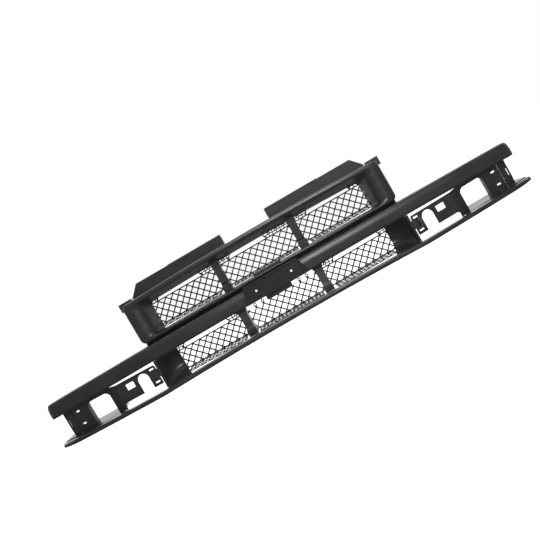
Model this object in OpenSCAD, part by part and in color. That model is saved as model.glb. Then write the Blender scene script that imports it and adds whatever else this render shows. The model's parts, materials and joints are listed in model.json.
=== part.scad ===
// Full-width front grille panel: a framed upper port, a bowed centre bar, a lower
// mouth between two pillars, lamp carriers outboard and a lip along the bottom.
// -Y is the front, +Z is up, and +X runs to the right as seen from the front. The
// origin is midway between the two top bolts, on the bolt feet's upper face.
// "Ahead" is a distance in front of the bolt line at the centre of the panel, and
// "drop" is a distance below the bolt feet's upper face.

/* [Panel] */
// Overall width, lip tip to lip tip
panel_w = 1560; // [1540:5:1580]
// Plan radius that every front edge is bowed to
bow_r = 2500; // [2400:50:2700]
// Moulded wall thickness
wall = 3; // [2.5:0.5:3]

/* [Port] */
// Width over the rim
port_w = 828; // [820:2:832]
// Top of the rim at the centre, below the bolt plane
port_top_drop = 29; // [27:1:31]
// Bottom of the rim, below the bolt plane
port_bottom_drop = 157.5; // [156:0.5:158]
// Rim's face ahead of the bolt line
port_ahead = 125; // [123:1:126]
// Fall of the rim's top edge from centre to corner
port_crown = 8; // [4:1:10]
// Depth of the rim's outer return wall
port_return = 42; // [36:2:46]

/* [Bays] */
// Half-width from the centre line to the outer bay's far edge
bay_far = 341; // [339:1:343]
// Centre of each divider from the centre line
divider_x = 123; // [122:0.5:124.5]
// Width of a divider at its waist
divider_w = 23; // [20:1:24]
// Diagonal pitch of the diamond lattice
mesh_pitch = 24.2; // [23:0.2:26]
// Width of a lattice strand
strand = 3.4; // [3:0.2:4]
// Thickness of a lattice panel
mesh_t = 4; // [3:0.5:4]
// Lattice panels' mid-plane ahead of the bolt line
mesh_ahead = 41; // [40:0.5:41.5]

/* [Centre bar] */
// Width over the bar's rounded ends
bar_w = 1546; // [1540:2:1552]
// Top of the bar at the centre, below the bolt plane
bar_top_drop = 166.5; // [166:0.5:167]
// Height of the bar's face
bar_h = 44; // [43:0.5:44.5]
// Depth of the bar, front to back
bar_depth = 50; // [46:1:52]
// Bar's face ahead of the bolt line
bar_ahead = 135; // [134:0.5:136]
// Fall of the bar from centre to end
bar_fall = 13; // [10:1:14]

/* [Emblem pad] */
// Width of the pad at its foot
pad_w = 194; // [188:1:198]
// Height of the pad
pad_h = 52; // [50:0.5:52]
// Distance between the two emblem holes
emblem_spacing = 112; // [106:1:116]
// Radius of an emblem hole
emblem_hole_r = 3.25; // [2.5:0.25:3.5]

/* [Lip] */
// Lip's front edge ahead of the bolt line
lip_ahead = 150; // [148:1:151]
// Top of the lip at the centre, below the bolt plane
lip_top_drop = 290.5; // [290:0.5:292]
// Fall of the lip from the centre to its corners
lip_fall = 10.5; // [9:0.5:12]
// Height of the lip's front band
lip_h = 13; // [12:0.5:14]
// Half-width at the corners where the lip stops falling
lip_corner_x = 425; // [420:5:430]
// Upward slope of the shelves towards the back, degrees
shelf_slope = 3.5; // [2:0.5:4]

/* [Lamp carriers] */
// Inner lamp panel ahead of the bolt line
carrier_ahead = 115; // [114:0.5:116]
// How far the outer lamp panel is set behind the inner one
carrier_step = 12; // [10:1:14]
// Width of the big lamp window
window_w = 80; // [77:0.5:81]
// Width of the keyhole slot
keyhole_w = 36; // [30:1:38]

/* [Top flanges and side tabs] */
// Inner end of each top flange from the centre line
flange_near = 73; // [70:1:80]
// Upper outer corner of each top flange from the centre line
flange_far = 354; // [350:1:358]
// Distance between the two top bolts
top_bolt_spacing = 430; // [420:5:440]
// Distance between the two side tab bolts
tab_bolt_spacing = 820; // [812:2:828]
// Radius of the bolt holes
bolt_hole_r = 3.3; // [2.7:0.1:3.5]

/* [Hidden] */

moulded = [0.13, 0.13, 0.14];
insert = [0.09, 0.09, 0.10];
seal_black = [0.06, 0.06, 0.06];
zinc = [0.55, 0.56, 0.58];
clear = 0.3;      // assembly gap between neighbouring mouldings
cut = 1;          // how far a cutter runs past the face it opens
arc_steps = 6;    // steps in a quarter-round corner
bow_steps = 40;   // stations along a full-width bowed piece

port_top = -port_top_drop;
port_bottom = -port_bottom_drop;
bar_top = -bar_top_drop;
bar_bottom = bar_top - bar_h;
lip_top = -lip_top_drop;
rim_r = [15, 14];             // rim's top and bottom corner radii
throat_r = [14, 9];           // funnel throat's top and bottom corner radii
throat_drop = 33;             // throat's top edge below the rim's top
throat_rise = 10;             // throat's bottom edge above the rim's bottom
throat_ahead = [55, 48, 100]; // throat's top, sides and bottom ahead of the bolts
upper_mesh_z = [-141.4, -73.6];
lower_mesh_z = [-288, -228.4];
divider_half = divider_w / 2;
side_bay_x = (divider_x + divider_half + bay_far) / 2;
centre_bay_w = 2 * (divider_x - divider_half);
side_bay_w = bay_far - divider_x - divider_half;
pillar_x = [bay_far + 3, port_w / 2 + 1];
shelf_near = 562;             // inboard edge of each shelf
shelf_depth = 122;
carrier_x = [424, 552, 580, 713]; // panel start, step, step end, outer edge
end_flange_x = 741;
screw_r = 2;
screw_head = [4.2, 2.6];      // radius and height

function mix(a, b, t) = a + (b - a) * t;
function clip01(t) = max(0, min(1, t));
function bow(x) = bow_r - sqrt(bow_r * bow_r - x * x);
function span(a, b, n) = [for (i = [0 : n]) mix(a, b, i / n)];
function sag(x) = bar_fall * pow(x / (bar_w / 2), 2);
function lip_sag(x) = lip_fall * pow(min(abs(x), lip_corner_x) / lip_corner_x, 2);
function arc2(c, r, from, to, n = arc_steps) =
    [for (a = span(from, to, n)) [c[0] + r * cos(a), c[1] + r * sin(a)]];

// Rounded outline in X-Z, clockwise from the upper left, with a crowned top edge and
// a bottom edge that falls with the bar. Every call returns the same number of points.
function framed(hw, top, bottom, radii, crown) =
    let (rt = radii[0], rb = radii[1], tx = hw - rt, bx = hw - rb,
         tz = top - crown * pow(tx / hw, 2) - rt, bz = bottom - sag(bx) + rb)
    concat(
        [for (x = span(-tx, tx, 14)) [x, top - crown * pow(x / hw, 2)]],
        [for (a = span(75, 15, 4)) [tx + rt * cos(a), tz + rt * sin(a)]],
        [for (z = span(tz, bz, 3)) [hw, z]],
        [for (a = span(-15, -75, 4)) [bx + rb * cos(a), bz + rb * sin(a)]],
        [for (x = span(bx, -bx, 14)) [x, bottom - sag(x)]],
        [for (a = span(-105, -165, 4)) [-bx + rb * cos(a), bz + rb * sin(a)]],
        [for (z = span(bz, tz, 3)) [-hw, z]],
        [for (a = span(165, 105, 4)) [-tx + rt * cos(a), tz + rt * sin(a)]]);

// Solid through a list of rings that have the same number of points, capped at both
// ends, or closed on itself when the first ring follows the last. Rings that follow
// each other along +X run from the back, over the top, to the front.
module loft(rings, closed = false) {
    m = len(rings);
    n = len(rings[0]);
    last = closed ? m - 1 : m - 2;
    sides = [for (i = [0 : last], j = [0 : n - 1])
        let (a = i * n + j, b = i * n + (j + 1) % n,
             c = ((i + 1) % m) * n + (j + 1) % n, d = ((i + 1) % m) * n + j)
        each [[a, c, b], [a, d, c]]];
    caps = closed ? [] : [[for (j = [0 : n - 1]) j], [for (j = [n - 1 : -1 : 0]) (m - 1) * n + j]];
    polyhedron(points = [for (r = rings) each r], faces = concat(sides, caps));
}

module along_y(from, to) translate([0, to, 0]) rotate([90, 0, 0]) linear_extrude(to - from) children();
module along_x(from, to) translate([from, 0, 0]) rotate([90, 0, 90]) linear_extrude(to - from) children();
module both_sides() { children(); mirror([1, 0, 0]) children(); }
module side(s) if (s > 0) children(); else mirror([1, 0, 0]) children();

// Flat strip in X-Y between two distances ahead of the bolt line, bowed in plan
module bowed_strip(half, near, far, n = bow_steps)
    polygon(concat([for (x = span(-half, half, n)) [x, bow(x) - far]],
                   [for (x = span(half, -half, n)) [x, bow(x) - near]]));

// ---- Upper port ----

// How far ahead the throat lies at height z: level down the sides, then forward along
// the corner to the sill, or to the top wall
function throat_depth(z, top, bottom) =
    let (rise = (z - top + throat_r[0] + port_crown) / (throat_r[0] + port_crown),
         fall = (bottom + throat_r[1] - z) / throat_r[1])
    mix(mix(throat_ahead[1], throat_ahead[0], clip01(rise)), throat_ahead[2], clip01(fall));

// One station's cross-section: [how far from rim to throat, how far in depth, set back]
rim_front = [[0, 0, port_return], [0, 0, 9], [0.015, 0, 3], [0.06, 0, 0.6], [0.13, 0, 0],
             [0.30, 0.05, 0], [0.42, 0.20, 0], [1, 1, 0]];
rim_back = [[1, 1, 1], [0.38, 0.28, wall], [0.10, 0, wall], [0, 0, wall + 2], [0, 0, port_return]];

function port_section(outer, inner, list, deep) =
    [for (s = list) let (p = mix(outer, inner, s[0]))
        [p[0], bow(p[0]) - mix(port_ahead, deep, s[1]) + s[2], p[1]]];

module port_shell() {
    top = port_top - throat_drop;
    bottom = port_bottom + throat_rise;
    hw = port_w / 2;
    crown = port_crown * 0.7;
    outer = framed(hw, port_top, port_bottom, rim_r, port_crown);
    inner = framed(bay_far, top, bottom, throat_r, crown);
    outer_back = framed(hw - wall, port_top - wall, port_bottom + wall, rim_r - [wall, wall], port_crown);
    inner_back = framed(bay_far + wall, top + wall, bottom - wall, throat_r + [wall, wall], crown);
    loft([for (i = [0 : len(outer) - 1]) let (deep = throat_depth(inner[i][1], top, bottom))
        concat(port_section(outer[i], inner[i], rim_front, deep),
               port_section(outer_back[i], inner_back[i], rim_back, deep))], closed = true);
}

// Recessed wall that closes the groove between the port and the bar
module port_neck() {
    half = port_w / 2 - 12;
    ahead = port_ahead - 25;
    loft([for (x = span(-half, half, 24))
        let (low = bar_top - sag(x) + clear, high = port_bottom - sag(x) + 2, y = bow(x) - ahead)
        [[x, y + wall, low], [x, y + wall, high], [x, y, high], [x, y, low]]]);
}

hump_w = 86;         // raised block in the middle of the port's sill
hump_top = -142;
hump_ahead = [99, 108];

module port_surround() color(moulded) difference() {
    union() {
        port_shell();
        port_neck();
        translate([-hump_w / 2, -hump_ahead[1], port_bottom + 2])
            cube([hump_w, hump_ahead[1] - hump_ahead[0], hump_top - port_bottom - 2]);
    }
    flange_screw_holes(screw_r);
}

divider_foot = 14;   // half-width of the block at a divider's foot
divider_head = [17, 22]; // half-width and height of the flared head

// Waisted outline in X-Z about the divider's own centre line
module divider_outline(low, high, foot_h) {
    neck = low + foot_h;
    flare = [for (t = span(0, 1, 6))
        [mix(divider_half, divider_head[0], t * t), mix(high - divider_head[1], high, t)]];
    edge = concat([[divider_foot, low], [divider_foot, neck], [divider_half, neck + 3]], flare);
    polygon(concat(edge, [for (i = [len(edge) - 1 : -1 : 0]) [-edge[i][0], edge[i][1]]]));
}

module divider(low, high, foot_h, side_view) intersection() {
    along_y(-200, 50) divider_outline(low, high, foot_h);
    along_x(-30, 30) polygon(side_view);
}

// Side view in Y-Z, from the lattice forward to the foot block
port_divider_view = [[-47, -65], [-66, -61], [-84, -54], [-84, -120],
                     [-96, -128], [-96, -148.5], [-47, -148.5]];

module port_divider(s) color(moulded) translate([s * divider_x, bow(divider_x), 0])
    divider(-149, -50, 18, port_divider_view);

module port_divider_left() port_divider(-1);
module port_divider_right() port_divider(1);

// ---- Lattice panels ----

// Diamond lattice in a frame, centred on X with its lower edge at Y = 0. Strands cross
// on the top rail's lower edge; an open top leaves the rail out.
module lattice(w, h, open_top = false) difference() {
    translate([-w / 2, 0]) square([w, h]);
    intersection() {
        translate([-w / 2 + strand, strand])
            square([w - 2 * strand, h - strand - (open_top ? -cut : strand)]);
        translate([0, h - strand]) diamonds(w, h);
    }
}

// Diamond holes in rows down from Y = 0, where the first row of strands cross
module diamonds(w, h) {
    hole = mesh_pitch / sqrt(2) - strand;
    half_n = ceil(w / mesh_pitch / 2);
    for (i = [-half_n : half_n], j = [0 : ceil(h / mesh_pitch)], k = [0, 1])
        translate([(i + k / 2) * mesh_pitch, -(j + k / 2) * mesh_pitch]) rotate(45)
            square(hole, center = true);
}

// Stands a panel in one bay: -1, 0 and 1 are the left, centre and right bays
module in_bay(bay) {
    x = bay * side_bay_x;
    translate([x, bow(x) - mesh_ahead, 0]) rotate([0, 0, bay * asin(side_bay_x / bow_r)]) children();
}
function bay_w(bay) = bay == 0 ? centre_bay_w : side_bay_w;

// Panels reach in behind the dividers and the bay's far edge
mesh_gap = 1.5;    // from a divider's centre plane to the panel's edge
function mesh_w(bay) = (bay == 0 ? 2 * divider_x : 2 * (side_bay_x - divider_x)) - 2 * mesh_gap;

module mesh_panel(bay, z, open_top = false) color(insert) in_bay(bay) translate([0, 0, z[0]])
    along_y(-mesh_t / 2, mesh_t / 2) lattice(mesh_w(bay), z[1] - z[0], open_top);

// Sloping lattice that runs forward from a mesh panel's foot
floor_t = 1.6;
module mesh_floor(bay, z_back, z_front, depth) color(insert) in_bay(bay) {
    tilt = atan2(z_back - z_front, depth);
    translate([0, -mesh_t / 2 - 3 * clear, z_back]) rotate([180 + tilt, 0, 0])
        linear_extrude(floor_t) lattice(bay_w(bay) - 14, depth);
}

module upper_mesh_left() mesh_panel(-1, upper_mesh_z);
module upper_mesh_centre() mesh_panel(0, upper_mesh_z);
module upper_mesh_right() mesh_panel(1, upper_mesh_z);

upper_floor_depth = 51;
module upper_floor(bay)
    mesh_floor(bay, upper_mesh_z[0] + 1.6, upper_mesh_z[0] - (bay == 0 ? 3.2 : 4.4), upper_floor_depth);
module upper_floor_left() upper_floor(-1);
module upper_floor_centre() upper_floor(0);
module upper_floor_right() upper_floor(1);

// Row of hooks that hangs a mesh panel from the wall above it. It stands on the panel's
// top rail: upright legs, a bar across them, arches above the bar and a slanted end.
clip_h = 15;
clip_bar = [4.5, 2.6];   // height of the bar's lower edge, and thickness of every strand
arch_r = [6.4, 3.6];
module clip_row(w) {
    t = clip_bar[1];
    translate([0, clip_bar[0]]) square([w, t]);
    for (x = [1 : mesh_pitch / 2 : w - t]) translate([x, 0]) square([t, clip_bar[0] + 1]);
    for (x = [1 : mesh_pitch : w - t]) translate([x, clip_bar[0]]) square([t, clip_h - clip_bar[0]]);
    for (x = [mesh_pitch / 2 + 2 : mesh_pitch : w - arch_r[0]]) translate([x, clip_bar[0] + 1]) arch();
    polygon([[w - 2 * t, 0], [w, 0], [w + 6 + t, clip_h], [w + 6, clip_h]]);
}
module arch() difference() {
    circle(r = arch_r[0], $fn = 36);
    circle(r = arch_r[1], $fn = 36);
    translate([-arch_r[0], -arch_r[0]]) square([2 * arch_r[0], arch_r[0]]);
}
module bay_clips(bay, z, widths) in_bay(bay) translate([0, 0, z + 0.1]) along_y(-1.6, 1.6) {
    edge = bay_w(bay) / 2 + 2;
    translate([-edge, 0]) clip_row(widths[0]);
    translate([edge, 0]) mirror([1, 0]) clip_row(widths[1]);
}

module upper_clips() color(insert) {
    bay_clips(-1, upper_mesh_z[1], [22, 42]);
    bay_clips(0, upper_mesh_z[1], [32, 76]);
    bay_clips(1, upper_mesh_z[1], [38, 30]);
}

// ---- Centre bar ----

bar_round = 14;    // rounding of the bar's ends, seen from the front
bar_sweep = 26;    // rounding of the bar's ends, seen from above
bar_edge_r = [13, 8];   // rounding of the face's upper and lower edges

function quarter(r, t) = t <= 0 ? 0 : r - sqrt(max(r * r - t * t, 0));

// Cross-section of the bar in Y-Z at one station, shrunk by `skin` all round
function bar_section(x, half, skin, depth) =
    let (t_end = abs(x) - (half - bar_round), t_plan = abs(x) - (half - bar_sweep),
         pinch = quarter(bar_round, min(t_end, bar_round)) * 0.9,
         back = quarter(bar_sweep, min(t_plan, bar_sweep)) * 0.9,
         top = bar_top - sag(x) - skin - pinch, bottom = bar_bottom - sag(x) + skin + pinch * 0.5,
         front = bow(x) - bar_ahead + skin + back,
         rt = bar_edge_r[0] - skin - pinch * 0.4, rb = bar_edge_r[1] - skin - pinch * 0.3)
    concat([[x, bow(x) - bar_ahead + depth, bottom], [x, bow(x) - bar_ahead + depth, top]],
        [for (a = span(90, 180, arc_steps)) [x, front + 2 + rt + rt * cos(a), top - rt + rt * sin(a)]],
        [[x, front, mix(top, bottom, 0.55)]],
        [for (a = span(180, 270, arc_steps)) [x, front + 1 + rb + rb * cos(a), bottom + rb + rb * sin(a)]]);

function bar_stations(half) = let (inner = half - bar_sweep)
    concat([for (a = span(80, 20, 3)) -inner - bar_sweep * sin(a)], span(-inner, inner, bow_steps),
           [for (a = span(20, 80, 3)) inner + bar_sweep * sin(a)]);

module bar_solid(skin, depth) {
    half = bar_w / 2 - skin;
    loft([for (x = bar_stations(half)) bar_section(x, half, skin, depth)]);
}

pad_back = bar_ahead - 11;   // pad's seat ahead of the bolt line
pad_top = port_bottom - 0.8;

module centre_bar() color(moulded) difference() {
    bar_solid(0, bar_depth);
    bar_solid(wall, bar_depth + cut);
    along_y(-bar_ahead - 5, -pad_back + clear) pad_outline(-clear, pad_low - 5, pad_top + 5);
    both_sides() bar_screw_holes(screw_r);
}

beam_z = [-205, -182];
beam_half = 715;
beam_ahead = bar_ahead - bar_depth + 3;
rib_step = 110;

// Stiffener along the back of the bar, with ribs that reach the bar's face
module bar_beam() color(moulded) difference() {
    union() {
        translate([0, 0, beam_z[0]]) linear_extrude(beam_z[1] - beam_z[0])
            bowed_strip(beam_half, beam_ahead, beam_ahead + wall);
        for (i = [-6 : 6]) if (i != 0) let (x = i * rib_step)
            translate([x - 1, bow(x) - bar_ahead + wall + 7, beam_z[0]])
                cube([2, bar_ahead - beam_ahead - wall - 9, beam_z[1] - beam_z[0]]);
    }
    for (s = [-1, 1]) translate([s * emblem_spacing / 2, 0, emblem_z])
        rotate([90, 0, 0]) cylinder(r = boss_r + clear, h = 200, $fn = 48);
    beam_screw_holes(screw_r);
}

// ---- Emblem pad ----

emblem_z = -184.7;
boss_r = 7;
boss_back = 119;    // rear end of the emblem bosses ahead of the bolt line
pad_front = bar_ahead + 3;
pad_taper = 12;     // how far each end leans in from foot to top
block_w = 80;
block_drop = 13;    // how far the block reaches below the pad
pad_low = pad_top - pad_h;
pad_rim = 5;        // width of the raised border round the pocket
pocket_depth = 3.5;

module rounded(w, h, r) polygon(concat(
    arc2([w / 2 - r, h - r], r, 90, 0), arc2([w / 2 - r, r], r, 0, -90),
    arc2([-w / 2 + r, r], r, -90, -180), arc2([-w / 2 + r, h - r], r, 180, 90)));

// Outline in X-Z of the pad, which is narrower at the top, between two heights
function pad_half(z) = pad_w / 2 - pad_taper * (z - pad_low) / pad_h;
module pad_outline(inset, low = pad_low, high = pad_top) {
    foot = pad_half(low + inset) - inset;
    top = pad_half(high - inset) - inset;
    polygon([[-foot, low + inset], [-top, high - inset], [top, high - inset], [foot, low + inset]]);
}

module emblem_pad() color(insert) difference() {
    union() {
        difference() {
            along_y(-pad_front, -pad_back - clear) pad_outline(0);
            along_y(-pad_front - cut, -pad_front + pocket_depth) pad_outline(pad_rim);
            along_y(-pad_front + pocket_depth + wall, -pad_back + cut) pad_outline(wall);
        }
        translate([0, 0, pad_low - block_drop]) along_y(-pad_front + 5, -pad_back - clear)
            rounded(block_w, block_drop + 3, 3);
        for (s = [-1, 1]) translate([s * emblem_spacing / 2, -boss_back, emblem_z])
            rotate([90, 0, 0]) cylinder(r = boss_r, h = pad_front - 5 - boss_back, $fn = 48);
    }
    for (s = [-1, 1]) translate([s * emblem_spacing / 2, 0, emblem_z])
        rotate([90, 0, 0]) cylinder(r = emblem_hole_r, h = 200, $fn = 48);
}

// ---- Lower mouth ----

lower_divider_z = [lip_top - 0.5, -211.4];
lower_divider_view = [[-47, -226], [-90, -211], [-108, -211], [-112, -262],
                      [-118, -272], [-118, -300], [-47, -300]];

module lower_divider(s) color(moulded) translate([s * divider_x, bow(divider_x), 0])
    divider(lower_divider_z[0], lower_divider_z[1], 20, lower_divider_view);

module lower_divider_left() lower_divider(-1);
module lower_divider_right() lower_divider(1);

module lower_mesh_left() mesh_panel(-1, lower_mesh_z);
module lower_mesh_centre() mesh_panel(0, lower_mesh_z, open_top = true);
module lower_mesh_right() mesh_panel(1, lower_mesh_z);

module lower_floor(bay)
    mesh_floor(bay, lower_mesh_z[0] + 1.6, lip_top + (bay == 0 ? 0.8 : -1.2), 68);
module lower_floor_left() lower_floor(-1);
module lower_floor_centre() lower_floor(0);
module lower_floor_right() lower_floor(1);

eyelet_r = [5, 2.5];
eyelet_rows = [2.5, 3.5];   // crossings that carry an eyelet, in pitches from the centre

module eyelet() difference() {
    circle(r = eyelet_r[0], $fn = 36);
    circle(r = eyelet_r[1], $fn = 36);
}

module lower_clips() color(insert) {
    bay_clips(-1, lower_mesh_z[1], [18, 40]);
    bay_clips(1, lower_mesh_z[1], [38, 20]);
    in_bay(0) translate([0, 0, lower_mesh_z[1] + eyelet_r[0] + 0.1]) along_y(-1.6, 1.6)
        for (n = eyelet_rows, s = [-1, 1]) translate([s * n * mesh_pitch, 0]) eyelet();
}

// Hollow column between the mouth and a lamp bay, as a plan section swept straight down
module pillar_plan() {
    far = pillar_x[1];
    near = pillar_x[0];
    y_front = bow(far) - port_ahead + 5;
    y_back = bow(near) - mesh_ahead - 7.8;
    face = [for (a = span(0, 90, 10)) [mix(near, far - 6, sin(a)), mix(y_front + 4, y_back, cos(a))]];
    skin = [for (a = span(90, 0, 10)) [mix(near, far - 6, sin(a)) + wall * sin(a) * 0.9,
                                      mix(y_front + 4, y_back, cos(a)) + wall * max(cos(a), 0.35)]];
    y_wall = bow(far) - carrier_ahead + 26;
    polygon(concat(face, [[far - 5, y_front + 1], [far - 2, y_front], [far, y_front + 2], [far, y_wall]],
                   [[far - wall, y_wall], [far - wall, y_front + 9]], skin));
}

module pillar(s) color(moulded) side(s) difference() {
    intersection() {
        translate([0, 0, -310]) linear_extrude(110) pillar_plan();
        along_y(-200, 50) polygon([[330, -214.2], [430, -215.6], [430, lip_top - lip_fall + clear],
            for (x = span(lip_corner_x, 330, 6)) [x, lip_top - lip_sag(x) + clear]]);
    }
    carrier_screw_holes(screw_r);
}

module pillar_left() pillar(-1);
module pillar_right() pillar(1);

// ---- Lip and shelves ----

lip_ledge = 34;     // depth of the ledge behind the front band
lip_upstand = 2.6;  // height of the rib along the ledge's back edge, beside the keyhole
tip_len = 60;       // length of the tapered tips

// Cross-section of the lip at one station: front band, ledge and rear rib
function lip_section(x, half) =
    let (t = max(0, (abs(x) - (half - tip_len)) / tip_len), shrink = 1 - 0.45 * t * t,
         front = bow(x) - lip_ahead + 16 * t * t, top = lip_top - lip_sag(x) - 3.5 * t * t,
         h = lip_h * shrink,
         rib = abs(x) > shelf_near - 8 || abs(x) < pillar_x[1] + 12 ? 0.2 : lip_upstand,
         d = lip_ledge * (1 - 0.35 * t))
    [[x, front + d, top - wall], [x, front + d, top + rib], [x, front + d - wall + 0.5, top + rib],
     [x, front + d - wall, top], [x, front + 5, top], [x, front + 2, top - 1.2],
     [x, front + 0.4, top - 4 * shrink], [x, front, top - h * 0.6], [x, front + 1, top - h + 2],
     [x, front + 3, top - h], [x, front + 8, top - h], [x, front + 8, top - h + wall * shrink],
     [x, front + 4.5, top - h + wall * shrink], [x, front + 4.5, top - wall]];

module bottom_lip() color(moulded) {
    half = panel_w / 2;
    loft([for (x = span(-half, half, 78)) lip_section(x, half)]);
}

shelf_front = lip_ahead - lip_ledge - clear;
shelf_z = lip_top - lip_fall - wall;
shelf_bolt = [655, 62];

// Sloping shelf behind the lip in the lamp bay, with a bumper bolt hole
module shelf(s) color(moulded) side(s) difference() {
    near = shelf_near + 2;
    far = panel_w / 2 - 8;
    y_front = bow(near) - shelf_front;
    translate([0, y_front, shelf_z]) rotate([shelf_slope, 0, 0]) translate([0, -y_front, 0])
        linear_extrude(wall) polygon(concat(
            [for (x = span(near, far, 10)) [x, bow(x) - shelf_front]],
            [[far - 16, bow(far) - shelf_front + 42], [far - 44, y_front + shelf_depth]],
            arc2([near + 20, y_front + shelf_depth - 20], 20, 90, 180)));
    translate([shelf_bolt[0], shelf_bolt[1], shelf_z - 40]) cylinder(r = bolt_hole_r, h = 80, $fn = 48);
    shelf_screw_holes(screw_r);
}

module shelf_left() shelf(-1);
module shelf_right() shelf(1);

// ---- Lamp carriers ----

carrier_top = -222.5;
carrier_foot = shelf_z + 5.3;
inner_bottom = -283;
outer_top = bar_bottom - sag(end_flange_x) - clear;
bar_tab_t = 3;
function bar_tab_z(x) = bar_bottom - sag(x + 10) - clear;   // upper face of a top tab

// Places a flat panel so that its X axis runs from one plan point to another
module between(a, b) translate([a[0], a[1], 0]) rotate([0, 0, atan2(b[1] - a[1], b[0] - a[0])]) children();
function carrier_y(x, ahead) = bow(x) - ahead;
function run(a, b) = norm(b - a);

inner_a = [carrier_x[0], carrier_y(carrier_x[0], carrier_ahead)];
inner_b = [carrier_x[1], carrier_y(carrier_x[1], carrier_ahead)];
outer_a = [carrier_x[2], carrier_y(carrier_x[2], carrier_ahead - carrier_step)];
outer_b = [carrier_x[3], carrier_y(carrier_x[3], carrier_ahead - carrier_step)];

slot_size = [15, 4.6];
module slot(x, z) translate([x - slot_size[0] / 2, z - slot_size[1] / 2]) square(slot_size);

// Inner panel with the keyhole, the square hole and two slots beside the pillar
module inner_panel_face() {
    w = run(inner_a, inner_b);
    keyhole_x = 42;
    keyhole_top = -229.8;
    difference() {
        polygon([[-6, -229], [-2, carrier_top - 1], [w, carrier_top], [w + 1, inner_bottom - 5],
                 [w - 8, inner_bottom], [-6, inner_bottom]]);
        translate([keyhole_x, keyhole_top - keyhole_w / 2]) circle(r = keyhole_w / 2, $fn = 64);
        translate([keyhole_x - keyhole_w / 2, -320]) square([keyhole_w, 320 + keyhole_top - keyhole_w / 2]);
        translate([73, -253.5]) square([27, 18]);
        slot(7.5, -232.3);
        slot(7.5, -272.2);
    }
}

window_r = 17;

// Outer panel with the lamp window, open to the shelf, and its row of slots
module outer_panel_face() {
    w = run(outer_a, outer_b);
    top = -229;
    difference() {
        polygon([[-1, carrier_foot - 12], [-1, bar_tab_z(carrier_x[2])], [w, bar_tab_z(carrier_x[3])],
                 [w, carrier_foot - 12]]);
        translate([0, -330]) square([window_w, 330 + top - window_r]);
        translate([window_r, top - 2 * window_r]) square([window_w - 2 * window_r, 2 * window_r]);
        for (x = [window_r, window_w - window_r])
            translate([x, top - window_r]) circle(r = window_r, $fn = 64);
        for (z = [-237, -276.8, -296]) slot(w - 19, z);
    }
}

// Step wall that joins the two panels
module step_face() {
    w = run(inner_b, outer_a);
    polygon([[-0.5, carrier_foot - 12], [-0.5, carrier_top], [w + 0.5, bar_tab_z(carrier_x[2])],
             [w + 0.5, carrier_foot - 12]]);
}

// Two shallow recesses in the step wall's front face
module step_notches() {
    w = run(inner_b, outer_a);
    for (n = [[0.35, -244, 9], [0.2, -282, 15]]) translate([w * n[0], n[1]]) square([w * 0.42, n[2]]);
}

module above_shelf() {
    y_front = bow(shelf_near + 2) - shelf_front;
    translate([0, y_front, shelf_z]) rotate([shelf_slope, 0, 0])
        translate([300, -y_front - 300, wall + 0.2]) cube([600, 700, 200]);
}

module lamp_carrier(s) color(moulded) side(s) difference() {
    intersection() {
        union() {
            between(inner_a, inner_b) along_y(0, wall) inner_panel_face();
            between(inner_b, outer_a) difference() {
                along_y(0, wall) step_face();
                along_y(-cut, wall / 2) step_notches();
            }
            between(outer_a, outer_b) along_y(0, wall) outer_panel_face();
            carrier_ribs();
            carrier_tabs();
        }
        above_shelf();
    }
    carrier_screw_holes(screw_r);
    shelf_screw_holes(screw_r);
    bar_screw_holes(screw_r);
}

// Stiffening ribs behind the outer panel's window and slots
module carrier_ribs() {
    w = run(outer_a, outer_b);
    between(outer_a, outer_b) for (x = [window_w + 3, w - wall])
        translate([x, wall - 0.5, carrier_foot - 12])
            cube([wall, 22, outer_top - carrier_foot + 12]);
}

// Tab on the pillar's side wall, tabs under the bar and a foot on the shelf
module carrier_tabs() {
    outer_ahead = carrier_ahead - carrier_step;
    for (x = bar_screw_x) translate([x - 10, carrier_y(x, outer_ahead) + 1, bar_tab_z(x) - bar_tab_t])
        cube([20, 16, bar_tab_t]);
    for (x = shelf_screw_x) translate([x - 9, carrier_y(x, outer_ahead) + 1, carrier_foot - 8])
        cube([18, 20, 13]);
    y = inner_a[1];
    translate([pillar_x[1] + 0.2, y - 1, -262]) cube([wall, 26, 24]);
    translate([pillar_x[1] + 0.2, y - 1, -262]) cube([14, wall, 24]);
}

// Outboard flange that turns back from the outer panel, with one tall slot
module end_flange(s) color(moulded) side(s) intersection() {
    a = outer_b + [2.2, 0];
    b = [end_flange_x, outer_b[1] + 16];
    union() {
        between(a, b) along_y(0, wall) difference() {
            translate([0, carrier_foot - 12]) square([run(a, b), outer_top - carrier_foot + 12]);
            translate([run(a, b) - 9.5, -269.5]) square([6, 21]);
        }
        translate([b[0] - wall + 0.4, b[1] - 2, outer_top - 60]) cube([wall, 17, 60]);
    }
    above_shelf();
}

module lamp_carrier_left() lamp_carrier(-1);
module lamp_carrier_right() lamp_carrier(1);
module end_flange_left() end_flange(-1);
module end_flange_right() end_flange(1);

// ---- Top flanges and side tabs ----

flange_y = -14;        // front face of the flanges' upright wall
flange_foot_y = 13;    // back edge of the bolt feet
flange_low = -64;      // lower edge, hidden behind the rim
flange_slant = 29;     // run of the slanted outer end
seal_end = 246;        // outer end of the seal
bolt_foot_w = 44;

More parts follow.
